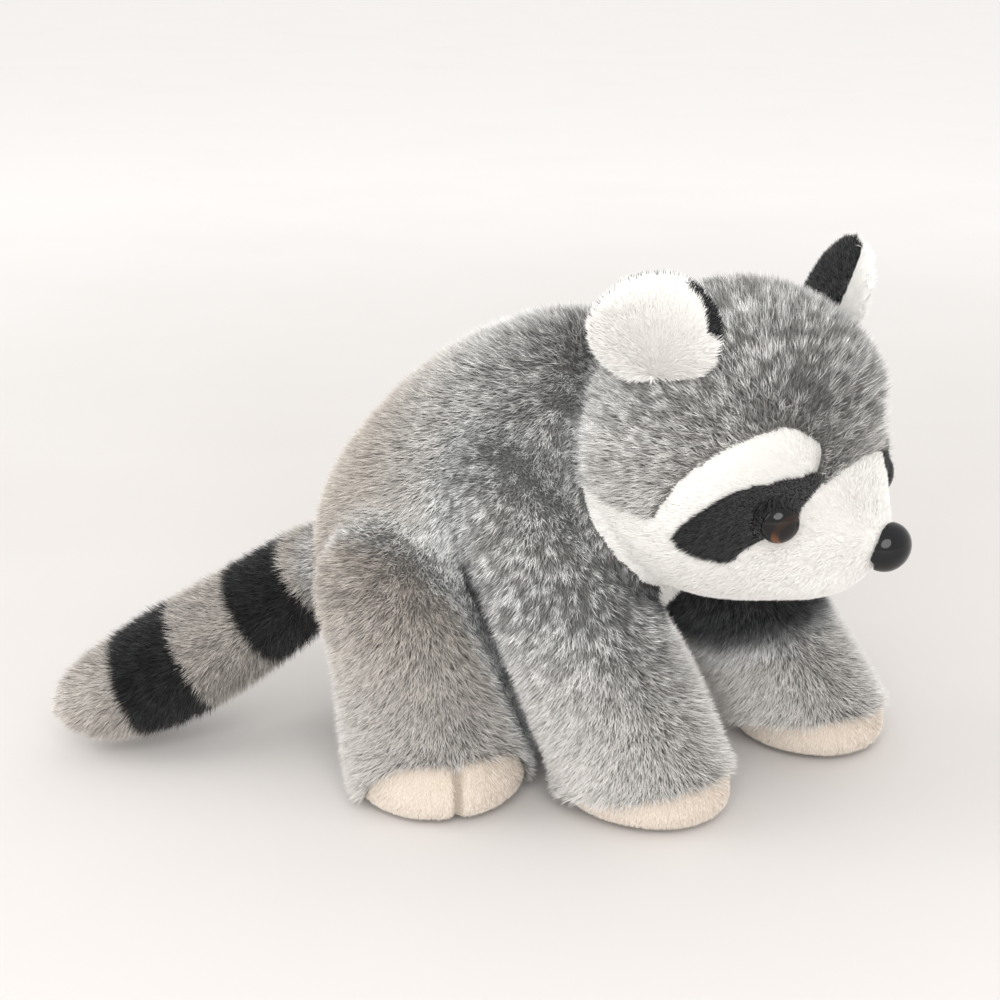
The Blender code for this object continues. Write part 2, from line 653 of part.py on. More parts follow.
def make_tail(rooms, toy, cutters):
    """The ringed tail: one stuffed form cut across at its seams."""
    rings = []
    last = len(TAIL_RADII) - 1
    for k, radius in enumerate(TAIL_RADII):
        place, way = along(TAIL_ROUTE, k / last)
        across = UP.cross(way).normalized()
        rings.append(ring(place, across, way.cross(across), radius, radius, radius))
    start, way = along(TAIL_ROUTE, 0)
    end, tip_way = along(TAIL_ROUTE, 1)
    form = stuffed("tail_form", start - way * TAIL_ROOT_DOME, rings, end + tip_way * TAIL_RADII[-1] * 0.9,
                   cutters)
    helper(form)
    names = ("tail_root", "tail_ring_1", "tail_ring_2", "tail_ring_3", "tail_tip")
    limits = (None, *TAIL_SEAMS, None)
    for name, near, far in zip(names, limits, limits[1:]):
        bm = bmesh.new()
        bm.from_mesh(form.data)
        for share, facing in ((near, -1), (far, 1)):
            if share is None:
                continue
            place, way = along(TAIL_ROUTE, share)
            way.rotate(Matrix.Rotation(-TAIL_SEAM_SKEW, 3, "Z"))
            cut = bmesh.ops.bisect_plane(bm, geom=bm.verts[:] + bm.edges[:] + bm.faces[:],
                                         plane_co=place - way * facing * SEAM_GAP / 2,
                                         plane_no=way * facing, clear_outer=True)
            rim = [e for e in cut["geom_cut"] if isinstance(e, bmesh.types.BMEdge)]
            bmesh.ops.triangle_fill(bm, edges=rim, use_beauty=True)
        piece = object_from(bm, name, toy)
        for room in rooms:
            boolean(piece, room, "DIFFERENCE")
        largest_body(piece)


def make_chest_panel(torso, whole, head_room, toy, cutters):
    """Sews the chest panel: an oval shell in the torso's surface, in a pocket of its own."""
    middle = (CHEST_PANEL_TOP + CHEST_PANEL_BOTTOM) / 2
    tall = (CHEST_PANEL_TOP - CHEST_PANEL_BOTTOM) / 2
    angles = [math.tau * k / CHEST_PANEL_POINTS for k in range(CHEST_PANEL_POINTS)]
    oval = [(CHEST_PANEL_HALF_WIDTH * math.cos(a), middle + tall * math.sin(a)) for a in angles]
    area = prism("chest_area", oval, Matrix.Translation((CHEST_PANEL_X, 0, 0)), REACH, cutters)
    chest = copy_of(whole, "chest_panel", toy)
    boolean(chest, grown(whole, -PANEL_THICKNESS, "chest_lining", cutters), "DIFFERENCE")
    boolean(chest, area, "INTERSECT")
    boolean(chest, head_room, "DIFFERENCE")
    largest_body(chest)
    pocket = grown(area, SEAM_GAP, "chest_pocket", cutters)
    boolean(pocket, grown(whole, -PANEL_THICKNESS - SEAM_GAP, "chest_filling", cutters), "DIFFERENCE")
    boolean(torso, pocket, "DIFFERENCE")
    largest_body(torso)


def make_nose(whole, head_room, head, panels, place, toy, cutters):
    ahead = place.to_3x3() @ FORWARD
    tip, _ = on_skin(whole, place @ Vector((0, 0, NOSE_Z)), ahead)
    seat = place.copy()
    seat.translation = tip - ahead * NOSE_SINK
    nose = ellipsoid("nose", seat, (NOSE_DEPTH, NOSE_HALF_WIDTH, NOSE_HALF_HEIGHT), toy)
    lock_into_cloth("nose", nose, head_room, head, [panels["muzzle"]], tip, ahead, toy, cutters)


def make_eye(side, sign, whole, head_room, head, panels, place, toy, cutters):
    look = place.to_3x3() @ Vector((math.cos(SIDE_TURN), sign * math.sin(SIDE_TURN), 0))
    start = place @ Vector((EYE_START_X, sign * EYE_START_Y, EYE_Z))
    point, normal = on_skin(whole, start, look)
    seat = normal.to_track_quat("X", "Z").to_matrix().to_4x4()
    seat.translation = point - normal * EYE_SINK
    eye = ellipsoid("eye_" + side, seat, (EYE_DOME, EYE_RADIUS, EYE_RADIUS), toy)
    cloths = [panels["eye_mask_" + side], panels["muzzle"]]
    lock_into_cloth("eye_" + side, eye, head_room, head, cloths, point, normal, toy, cutters)


def make_legs(rooms, toy, cutters):
    """The forelegs, each in a place of its own, and then the pair of hind legs. Returns each leg's room."""
    fore = (FORE_SHOULDER_RADIUS, FORE_ANKLE_RADIUS)
    fore_sole = (FORE_SOLE_HALF_LENGTH, FORE_SOLE_HALF_WIDTH)
    hind = (HIND_HIP_RADIUS, HIND_ANKLE_RADIUS)
    hind_sole = (HIND_SOLE_HALF_LENGTH, HIND_SOLE_HALF_WIDTH)
    legs = {}
    legs["front_right"] = make_leg("front_right", FORE_RIGHT_SHOULDER, FORE_RIGHT_SOLE, FORE_RIGHT_TOES,
                                   fore, fore_sole, FORE_PAD_RISE, rooms, toy, cutters)
    legs["front_left"] = make_leg("front_left", FORE_LEFT_SHOULDER, FORE_LEFT_SOLE, FORE_LEFT_TOES,
                                  fore, fore_sole, FORE_PAD_RISE, rooms, toy, cutters)
    for side, sign in (("right", -1), ("left", 1)):
        hip = (HIND_HIP[0], sign * HIND_HIP[1], HIND_HIP[2])
        sole = (HIND_SOLE[0], sign * HIND_SOLE[1], 0)
        legs["hind_" + side] = make_leg("hind_" + side, hip, sole, sign * HIND_TOES, hind, hind_sole,
                                        HIND_PAD_RISE, rooms + [legs["front_" + side]], toy, cutters, lobes=2)
    return legs


def colour(toy):
    """Gives each piece its own material, by the first row here that names it."""
    looks = (
        (("_washer",), "washer_plastic", WASHER_PLASTIC, 0.4, 0),
        (("nose",), "nose_plastic", NOSE_PLASTIC, 0.12, 0.6),
        (("eye_right", "eye_left"), "eye_plastic", EYE_PLASTIC, 0.10, 0.6),
        (("eye_mask", "ear_back", "tail_ring_1", "tail_ring_3"), "black_plush", BLACK_PLUSH, 0.9, 0),
        (("muzzle", "brow", "cheek", "ear_front"), "white_plush", WHITE_PLUSH, 0.9, 0),
        (("chest_panel",), "chest_plush", CHEST_PLUSH, 0.9, 0),
        (("_pad",), "beige_velour", BEIGE_VELOUR, 0.85, 0),
        (("",), "grey_fur", GREY_FUR, 0.9, 0),
    )
    for obj in toy.objects:
        kind, rgb, roughness, coat = next(look for keys, *look in looks if any(key in obj.name for key in keys))
        obj.data.materials.clear()
        obj.data.materials.append(material(f"{obj.name}_{kind}", rgb, roughness, coat))
        obj.data.shade_smooth()


def main():
    clear_scene()
    cutters = new_collection("cutters")
    toy = new_collection("plush_raccoon")
    place = head_frame()
    torso = make_body(toy)
    torso.name = "torso"
    head = make_head_form(place, toy)
    head.name = "head"
    whole_head = helper(copy_of(head, "head_whole", cutters))
    whole_torso = helper(copy_of(torso, "torso_whole", cutters))
    head_room = grown(head, SEAM_GAP, "head_room", cutters)
    body_room = grown(torso, SEAM_GAP, "body_room", cutters)
    boolean(torso, head_room, "DIFFERENCE")
    largest_body(torso)
    make_chest_panel(torso, whole_torso, head_room, toy, cutters)
    panels = make_panels(head, place, cutters, toy)
    make_nose(whole_head, head_room, head, panels, place, toy, cutters)
    for side, sign in (("right", 1), ("left", -1)):
        make_eye(side, sign, whole_head, head_room, head, panels, place, toy, cutters)
        make_ear(side, head_room, place, toy, cutters)
    legs = make_legs([body_room, head_room], toy, cutters)
    make_tail([body_room, legs["hind_right"], legs["hind_left"]], toy, cutters)
    colour(toy)

    corners = [obj.matrix_world @ Vector(c) for obj in toy.objects for c in obj.bound_box]
    middle_x = (min(c.x for c in corners) + max(c.x for c in corners)) / 2
    middle_y = (min(c.y for c in corners) + max(c.y for c in corners)) / 2
    stand = bpy.data.objects.new("stand", None)
    toy.objects.link(stand)
    for obj in toy.objects:
        if obj is not stand:
            obj.parent = stand
    stand.location = (-middle_x, -middle_y, 0)


main()
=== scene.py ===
"""The looks of a plush raccoon: pile fabrics, stitched face, glossy eyes and nose, floor and light."""

import json
import math

import bmesh
import bpy
import numpy as np
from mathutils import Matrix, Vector
from mathutils.bvhtree import BVHTree


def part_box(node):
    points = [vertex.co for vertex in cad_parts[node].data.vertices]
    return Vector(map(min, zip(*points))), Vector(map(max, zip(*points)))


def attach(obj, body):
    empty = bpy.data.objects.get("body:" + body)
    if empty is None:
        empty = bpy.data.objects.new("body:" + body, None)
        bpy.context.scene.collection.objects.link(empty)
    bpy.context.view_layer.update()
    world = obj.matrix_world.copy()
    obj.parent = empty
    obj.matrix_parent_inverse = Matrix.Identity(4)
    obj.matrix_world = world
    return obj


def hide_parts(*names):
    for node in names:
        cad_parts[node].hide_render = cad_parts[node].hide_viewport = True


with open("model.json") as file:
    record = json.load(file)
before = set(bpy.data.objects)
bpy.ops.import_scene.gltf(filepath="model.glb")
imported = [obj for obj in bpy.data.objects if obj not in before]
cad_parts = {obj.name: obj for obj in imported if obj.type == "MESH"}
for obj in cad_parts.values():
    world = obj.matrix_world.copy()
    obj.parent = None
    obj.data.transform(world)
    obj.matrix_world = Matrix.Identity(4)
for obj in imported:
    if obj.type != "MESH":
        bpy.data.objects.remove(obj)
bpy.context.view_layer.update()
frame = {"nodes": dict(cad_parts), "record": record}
nodes = frame["nodes"]

# Camera
# It stands to the right of the animal and a little above it, on a moderate portrait lens,
# and looks at the middle of the body.
CAMERA_AZIMUTH = math.radians(22)
CAMERA_ELEVATION = math.radians(18)
CAMERA_DISTANCE = 0.75
CAMERA_TARGET = Vector((0.0012, -0.0071, 0.1045))
CAMERA_LENS = 70
SENSOR_WIDTH = 36

camera_data = bpy.data.cameras.new("camera")
camera_data.lens = CAMERA_LENS
camera_data.sensor_width = SENSOR_WIDTH
camera = bpy.data.objects.new("camera", camera_data)
bpy.context.scene.collection.objects.link(camera)
towards_camera = Vector(
    (
        math.sin(CAMERA_AZIMUTH) * math.cos(CAMERA_ELEVATION),
        -math.cos(CAMERA_AZIMUTH) * math.cos(CAMERA_ELEVATION),
        math.sin(CAMERA_ELEVATION),
    )
)
camera.location = CAMERA_TARGET + CAMERA_DISTANCE * towards_camera
camera.rotation_euler = towards_camera.to_track_quat("Z", "Y").to_euler()
bpy.context.scene.camera = camera


# Cover
# The animal is one bag of knitted backing cloth, cut in panels, sewn edge to edge and stuffed with
# polyester fibre. The pile stands up from the cloth, so the cloth lies below the outer surface.
COVER_VOXEL = 0.0031
COVER_SMOOTHING = 5
COVER_GIVE = 0.0022
GIVE_ROOM = 0.8
STUFFING_PRESSURE = 4
STUFFING_FRAMES = 20
GREY_DEPTH = 0.0026
CHEST_DEPTH = 0.0020
FACE_DEPTH = 0.0013
PAD_DEPTH = 0.0010
DEPTH_BLENDS = 3
CREASE_REACH = 0.011
CREASE_BLENDS = 2
SEAM_PASSES = 6

LIMBS = {
    "body": {"torso": GREY_DEPTH, "chest_panel": CHEST_DEPTH},
    "head": {
        "head": GREY_DEPTH,
        "muzzle": FACE_DEPTH,
        "cheek_right": FACE_DEPTH,
        "cheek_left": FACE_DEPTH,
        "brow_right": FACE_DEPTH,
        "brow_left": FACE_DEPTH,
        "eye_mask_right": FACE_DEPTH,
        "eye_mask_left": FACE_DEPTH,
    },
    "front_right": {"front_right_leg": GREY_DEPTH, "front_right_pad": PAD_DEPTH},
    "front_left": {"front_left_leg": GREY_DEPTH, "front_left_pad": PAD_DEPTH},
    "hind_right": {"hind_right_leg": GREY_DEPTH, "hind_right_pad": PAD_DEPTH},
    "hind_left": {"hind_left_leg": GREY_DEPTH, "hind_left_pad": PAD_DEPTH},
    "tail": {
        "tail_root": GREY_DEPTH,
        "tail_ring_1": GREY_DEPTH,
        "tail_ring_2": GREY_DEPTH,
        "tail_ring_3": GREY_DEPTH,
        "tail_tip": GREY_DEPTH,
    },
}
BUTTONS = {"nose": FACE_DEPTH, "eye_right": FACE_DEPTH, "eye_left": FACE_DEPTH}

# The hind feet point outwards, and a stitched line between two toes runs up the front of each
TOE_ANGLE = math.radians(53)
TOE_LINE_WIDTH = 0.0020
TOE_LINE_DEPTH = 0.0026
TOE_LINE_START = (0.004, 0.010)
TOE_LINE_RISE = 0.024
TOE_LINE_FADE = 0.004
FOOT_REACH = 0.045
PAD_CORNER = 0.006
PAD_CROWN = 0.020
PAD_HALF_WIDTH = 0.031

# The left brow and mask reach further over the bridge than their solids, above the eye
FACE_REACH = 0.05
BRIDGE_SHIFT = 0.010
BRIDGE_LEVELS = (-0.004, 0.010)


def step(values, low, high):
    """A smooth rise from 0 at the low value to 1 at the high one, which may be the smaller."""
    share = np.clip((values - low) / (high - low), 0, 1)
    return share * share * (3 - 2 * share)


def coordinates(mesh):
    points = np.empty(len(mesh.vertices) * 3)
    mesh.vertices.foreach_get("co", points)
    return points.reshape(-1, 3)


def normals(mesh):
    found = np.empty(len(mesh.vertices) * 3)
    mesh.vertex_normals.foreach_get("vector", found)
    return found.reshape(-1, 3)


def place(mesh, points):
    mesh.vertices.foreach_set("co", np.asarray(points, np.float32).ravel())
    mesh.update()


def kept(mesh, name):
    """The values that the points of a mesh carry under a name."""
    values = np.empty(len(mesh.vertices), np.float32)
    mesh.attributes[name].data.foreach_get("value", values)
    return values


def keep(mesh, name, values):
    values = np.broadcast_to(values, len(mesh.vertices)).astype(np.float32)
    mesh.attributes.new(name, "FLOAT", "POINT").data.foreach_set("value", values)


def middle_of(name):
    """The middle of a CAD node's box."""
    return sum(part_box(name), Vector()) / 2


def to_the_left(ahead):
    """The level direction to the left of another."""
    return np.array((-ahead[1], ahead[0], 0))


def merged(names):
    """One mesh of these CAD nodes, with the doubles of each merged."""
    whole = bpy.data.meshes.new("merged")
    built = bmesh.new()
    for name in names:
        one = bmesh.new()
        one.from_mesh(nodes[name].data)
        bmesh.ops.remove_doubles(one, verts=one.verts, dist=1e-6)
        one.to_mesh(whole)
        one.free()
        built.from_mesh(whole)
    built.to_mesh(whole)
    built.free()
    return whole


def surface_of(names):
    """The faces of these nodes in one search tree, and for each face the number of its node."""
    points, faces, owners = [], [], []
    for number, name in enumerate(names):
        mesh = nodes[name].data
        start = len(points)
        points += [vertex.co[:] for vertex in mesh.vertices]
        faces += [[start + index for index in face.vertices] for face in mesh.polygons]
        owners += [number] * len(mesh.polygons)
    return BVHTree.FromPolygons(points, faces), np.array(owners)


def evaluated(obj):
    depsgraph = bpy.context.evaluated_depsgraph_get()
    return bpy.data.meshes.new_from_object(obj.evaluated_get(depsgraph))


def modified(mesh, *modifiers):
    """The mesh after these modifiers, each given as a type and its settings."""
    obj = bpy.data.objects.new("modified", mesh)
    bpy.context.scene.collection.objects.link(obj)
    for kind, settings in modifiers:
        modifier = obj.modifiers.new(kind, kind)
        for name, value in settings.items():
            setattr(modifier, name, value)
    result = evaluated(obj)
    bpy.data.objects.remove(obj)
    return result


def drop_inner_skins(mesh):
    """Removes the small closed skins of the hollows inside a mesh."""
    built = bmesh.new()
    built.from_mesh(mesh)
    left = set(built.verts)
    largest = set()
    while left:
        island = {left.pop()}
        rim = set(island)
        while rim:
            rim = {edge.other_vert(vertex) for vertex in rim for edge in vertex.link_edges} - island
            island |= rim
        left -= island
        largest = max(largest, island, key=len)
    inner = [vertex for vertex in built.verts if vertex not in largest]
    bmesh.ops.delete(built, geom=inner, context="VERTS")
    built.to_mesh(mesh)
    built.free()


def stuff(mesh, cap):
    """Swells the cloth by the pressure of its stuffing, where no point moves further than the cap."""
    scene = bpy.context.scene
    obj = bpy.data.objects.new("stuffed", mesh)
    scene.collection.objects.link(obj)
    cloth = obj.modifiers.new("stuffing", "CLOTH")
    cloth.settings.use_pressure = True
    cloth.settings.uniform_pressure_force = STUFFING_PRESSURE
    cloth.settings.effector_weights.gravity = 0
    for number in range(STUFFING_FRAMES):
        scene.frame_set(number + 1)
    settled = evaluated(obj)
    bpy.data.objects.remove(obj)
    scene.frame_set(1)
    rest = coordinates(mesh)
    moved = coordinates(settled) - rest
    length = np.linalg.norm(moved, axis=1, keepdims=True)
    place(mesh, rest + moved * np.minimum(1, cap / np.maximum(length, 1e-9)))


def averaged(mesh, values, times):
    """Values on the points of a mesh, each time mixed with those of the neighbours."""
    edges = np.empty(len(mesh.edges) * 2, int)
    mesh.edges.foreach_get("vertices", edges)
    first, second = edges.reshape(-1, 2).T
    count = np.bincount(edges, minlength=len(values))
    for _ in range(times):
        total = np.bincount(first, values[second], len(values))
        total += np.bincount(second, values[first], len(values))
        values = 0.5 * values + 0.5 * total / np.maximum(count, 1)
    return values


def straighten_seams(mesh, owner, times):
    """Moves the points along each seam to between their neighbours on it, so that it runs smooth."""
    loop_edges = np.empty(len(mesh.loops), int)
    mesh.loops.foreach_get("edge_index", loop_edges)
    sizes = np.empty(len(mesh.polygons), int)
    mesh.polygons.foreach_get("loop_total", sizes)
    loop_owner = np.repeat(owner, sizes)
    lowest = np.full(len(mesh.edges), len(nodes))
    highest = np.full(len(mesh.edges), -1)
    np.minimum.at(lowest, loop_edges, loop_owner)
    np.maximum.at(highest, loop_edges, loop_owner)
    edges = np.empty(len(mesh.edges) * 2, int)
    mesh.edges.foreach_get("vertices", edges)
    first, second = edges.reshape(-1, 2)[lowest != highest].T
    points = coordinates(mesh)
    count = np.bincount(np.concatenate((first, second)), minlength=len(points))
    along = count == 2
    for _ in range(times):
        total = np.zeros_like(points)
        np.add.at(total, first, points[second])
        np.add.at(total, second, points[first])
        points[along] = 0.5 * points[along] + 0.25 * total[along]
    place(mesh, points)


def stitch_toes(mesh, sole, ahead):
    """Draws in the stitched line between two toes, straight ahead of the middle of a sole."""
    points = coordinates(mesh)
    offset = points - sole
    aside = offset @ to_the_left(ahead)
    near = np.exp(-((aside / TOE_LINE_WIDTH) ** 2)) * step(offset @ ahead, *TOE_LINE_START)
    below = step(points[:, 2], TOE_LINE_RISE + TOE_LINE_FADE, TOE_LINE_RISE - TOE_LINE_FADE)
    near *= below * (np.abs(offset).max(axis=1) < FOOT_REACH)
    place(mesh, points - TOE_LINE_DEPTH * near[:, None] * ahead)
    # The toe line also counts as a crease, so painted shade darkens its dye
    crease = np.maximum(kept(mesh, "crease"), near)
    mesh.attributes["crease"].data.foreach_set("value", crease.astype(np.float32))


def cover(limbs, fillers, voxel, smoothing, give, panels, feet=()):
    """The backing cloth of each node in the limbs. The outer skins of all nodes, fillers too, become one
    skin, which sinks by the depth of its pile, swells under its stuffing and is cut at the seams."""
    depths = {name: depth for limb in limbs.values() for name, depth in limb.items()}
    depths.update(fillers)
    names = list(depths)
    search, owners = surface_of(names)
    skin = modified(
        merged(names),
        ("REMESH", {"mode": "VOXEL", "voxel_size": voxel}),
        ("SMOOTH", {"factor": 0.5, "iterations": smoothing}),
    )
    drop_inner_skins(skin)
    points = coordinates(skin)
    outward = normals(skin)

    def nearest(places):
        return owners[[search.find_nearest(Vector(p))[2] for p in places]]

    owner = nearest(points)
    crease = np.zeros(len(points))
    for limb in limbs.values():
        own = np.isin(owner, [names.index(name) for name in limb])
        beside, _ = surface_of(list(limb))
        for index in np.flatnonzero(~own):
            distance = beside.find_nearest(Vector(points[index]), CREASE_REACH)[3]
            if distance is not None:
                crease[index] = max(crease[index], 1 - distance / CREASE_REACH)
    depth = averaged(skin, np.array(list(depths.values()))[owner], DEPTH_BLENDS)
    sunk = depth + GIVE_ROOM * give
    place(skin, points - outward * sunk[:, None])
    stuff(skin, give)
    keep(skin, "depth", depth)
    keep(skin, "crease", averaged(skin, crease, CREASE_BLENDS))
    skin = modified(skin, ("SUBSURF", {"levels": 1, "render_levels": 1}))
    for sole, ahead in feet:
        stitch_toes(skin, sole, ahead)
    surface = coordinates(skin) + normals(skin) * kept(skin, "depth")[:, None]
    corners = np.array([face.vertices[:] for face in skin.polygons])
    middles = surface[corners].mean(axis=1)
    owner = panels(middles, nearest(middles), names, nearest)
    straighten_seams(skin, owner, SEAM_PASSES)
    pieces = {}
    for name in names:
        if name in fillers:
            continue
        piece = bmesh.new()
        piece.from_mesh(skin)
        piece.faces.ensure_lookup_table()
        outside = [face for face in piece.faces if owner[face.index] != names.index(name)]
        bmesh.ops.delete(piece, geom=outside, context="FACES")
        mesh = bpy.data.meshes.new(name + "_cloth")
        piece.to_mesh(mesh)
        piece.free()
        mesh.shade_smooth()
        pieces[name] = mesh
    return pieces


hind_feet = {}
for mount in frame["record"]["mounts"]:
    if "hind" in mount["name"]:
        side = "left" if "left" in mount["name"] else "right"
        turn = TOE_ANGLE if side == "left" else -TOE_ANGLE
        hind_feet[side] = (np.array(mount["pos_m"]), np.array((math.cos(turn), math.sin(turn), 0)))


def shifted_seams(places, owner, names, nearest):
    """The owner of each face with the far seams of the left brow and mask moved over the bridge, and
    with the top corners of the hind pads rounded off."""
    across = (middle_of("brow_left") - middle_of("brow_right")).normalized()
    near = np.linalg.norm(places - np.array(middle_of("brow_left")), axis=1) < FACE_REACH
    shift = BRIDGE_SHIFT * step(places[near, 2] - middle_of("eye_left").z, *BRIDGE_LEVELS)
    moved = owner.copy()
    moved[near] = nearest(places[near] + shift[:, None] * np.array(across))
    moved[moved == names.index("eye_left")] = names.index("eye_mask_left")
    far = np.isin(moved, [names.index("brow_left"), names.index("eye_mask_left")])
    far &= np.isin(owner, [names.index("head"), names.index("muzzle")])
    owner = np.where(far, moved, owner)
    for side, (sole, ahead) in hind_feet.items():
        aside = np.abs((places - sole) @ to_the_left(ahead))
        edge = PAD_CORNER + PAD_CROWN * np.sqrt(1 - np.minimum(aside / PAD_HALF_WIDTH, 1) ** 4)
        above = (owner == names.index("hind_" + side + "_pad")) & (places[:, 2] > edge)
        owner[above] = names.index("hind_" + side + "_leg")
    return owner


cloth = cover(
    LIMBS, BUTTONS, COVER_VOXEL, COVER_SMOOTHING, COVER_GIVE, shifted_seams, hind_feet.values()
)


# Body and chest
# The body is grey frosted long-pile plush, dark at the roots and pale at the tips, with a white
# plush panel let into the chest. The strands of each pile are drawn together into small tufts.
STREAK_SCALE = 45.0
TUFT_WANDER_SCALE = 90.0
TUFT_WANDER = 0.006
TUFT_RIM = (0.22, 0.62)
STRAND_PALENESS = (0.75, 1.15)
STRAND_TONE = 0.03
STRAND_LENGTHS = (0.72, 1.12)
STRAND_TWIST = 0.6
STRAND_SIDE_TONE = 0.004
SKIN_GRAIN_SCALE = 900.0
FLOOR_GAP = 0.0003
# Painted shade: in the creases, where the cloth lies near another limb, the dye is painted darker
CREASE_SHADE = (0.05, 0.75)
CREASE_SHORTENING = 0.5
MOST_TRIANGLES = 196000


def srgb(red, green, blue):
    """A display colour from 0 to 255 as the linear colour that a node takes."""
    shares = [channel / 255 for channel in (red, green, blue)]
    return [s / 12.92 if s <= 0.04045 else ((s + 0.055) / 1.055) ** 2.4 for s in shares] + [1.0]


class Wire:
    """One output in a node tree. Arithmetic on it adds Math nodes."""

    def __init__(self, tree, socket=None):
        self.tree = tree
        self.socket = socket

    def node(self, kind, settings=None, values=None, output=0):
        """Adds a node: its settings come first, then the values or links of its sockets."""
        node = self.tree.nodes.new(kind)
        for name, value in (settings or {}).items():
            if name == "stops":
                while len(node.color_ramp.elements) < len(value):
                    node.color_ramp.elements.new(0.5)
                for element, (position, colour) in zip(node.color_ramp.elements, value):
                    element.position = position
                    element.color = colour
            else:
                setattr(node, name, value)
        for key, value in (values or {}).items():
            if isinstance(value, Wire):
                self.tree.links.new(value.socket, node.inputs[key])
            else:
                node.inputs[key].default_value = value
        return Wire(self.tree, node.outputs[output] if node.outputs else None)

    def __getitem__(self, name):
        return Wire(self.tree, self.socket.node.outputs[name])

    def math(self, operation, *values):
        return self.node("ShaderNodeMath", {"operation": operation}, dict(enumerate(values)))

    def vector(self, operation, *values):
        output = "Value" if operation in ("DOT_PRODUCT", "LENGTH") else "Vector"
        settings = {"operation": operation}
        return self.node("ShaderNodeVectorMath", settings, dict(enumerate(values)), output)

    def scaled(self, factor):
        return self.node("ShaderNodeVectorMath", {"operation": "SCALE"}, {0: self, "Scale": factor})

    def smooth(self, low, high):
        values = {"Value": self, "From Min": low, "From Max": high}
        return self.node("ShaderNodeMapRange", {"interpolation_type": "SMOOTHSTEP"}, values)

    def mixed(self, first, second):
        """A colour between two, with this wire as the share of the second."""
        return self.node("ShaderNodeMix", {"data_type": "RGBA"}, {0: self, 6: first, 7: second}, 2)

    def __add__(self, other):
        return self.math("ADD", self, other)

    def __radd__(self, other):
        return self.math("ADD", other, self)

    def __sub__(self, other):
        return self.math("SUBTRACT", self, other)

    def __rsub__(self, other):
        return self.math("SUBTRACT", other, self)

    def __mul__(self, other):
        return self.math("MULTIPLY", self, other)

    def __rmul__(self, other):
        return self.math("MULTIPLY", other, self)


def finish(name, constants):
    """A material whose shader keeps these constant values, with the start of its tree."""
    material = bpy.data.materials.new(name)
    material.use_nodes = True
    shader = material.node_tree.nodes["Principled BSDF"]
    for socket, value in constants.items():
        shader.inputs[socket].default_value = value
    return material, Wire(material.node_tree), shader


def pile_finish(name, roots, tips, rise, streaks, sheen):
    """Pile yarn. The piece's map holds along U the dye, with painted shade in the creases, and along V
    the place from root to tip.
    """
    material, tree, shader = finish(
        name,
        {"Roughness": 0.8, "Specular IOR Level": 0.25, "Sheen Weight": sheen, "Sheen Roughness": 0.4},
    )
    spot = tree.node("ShaderNodeUVMap", {"uv_map": "OFBake"})
    dye = tree.node("ShaderNodeSeparateXYZ", values={0: spot})
    root = tree.node("ShaderNodeValToRGB", {"stops": roots}, {0: dye})
    tip = tree.node("ShaderNodeValToRGB", {"stops": tips}, {0: dye})
    colour = dye["Y"].smooth(*rise).mixed(root, tip)
    streak = {"W": dye, "Scale": STREAK_SCALE, "Detail": 1.0}
    streak = tree.node("ShaderNodeTexNoise", {"noise_dimensions": "1D"}, streak)
    light = streak * (2 * streaks) + (1 - streaks)
    light = tree.node("ShaderNodeCombineXYZ", values={0: light, 1: light, 2: light})
    colour = colour.vector("MULTIPLY", colour, light)
    material.node_tree.links.new(colour.socket, shader.inputs["Base Color"])
    return material


grey_pile = pile_finish(
    "grey_pile",
    [
        # The stops at 0, here and among the tips, stand for painted shade: the dye falls this low only
        # in creases and under the throat
        (0.0, srgb(28, 29, 31)),
        (0.30, srgb(126, 126, 123)),
        (0.60, srgb(138, 131, 124)),
        (1.0, srgb(186, 178, 168)),
    ],
    [
        (0.0, srgb(66, 70, 73)),
        (0.30, srgb(255, 255, 254)),
        (0.60, srgb(217, 210, 202)),
        (1.0, srgb(238, 231, 222)),
    ],
    (0.16, 0.62),
    0.45,
    0.25,
)
white_pile = pile_finish(
    "white_pile",
    [(0.0, srgb(252, 250, 246)), (1.0, srgb(253, 251, 248))],
    [(0.0, srgb(255, 254, 251)), (1.0, srgb(255, 254, 252))],
    (0.1, 0.7),
    0.02,
    0.15,
)


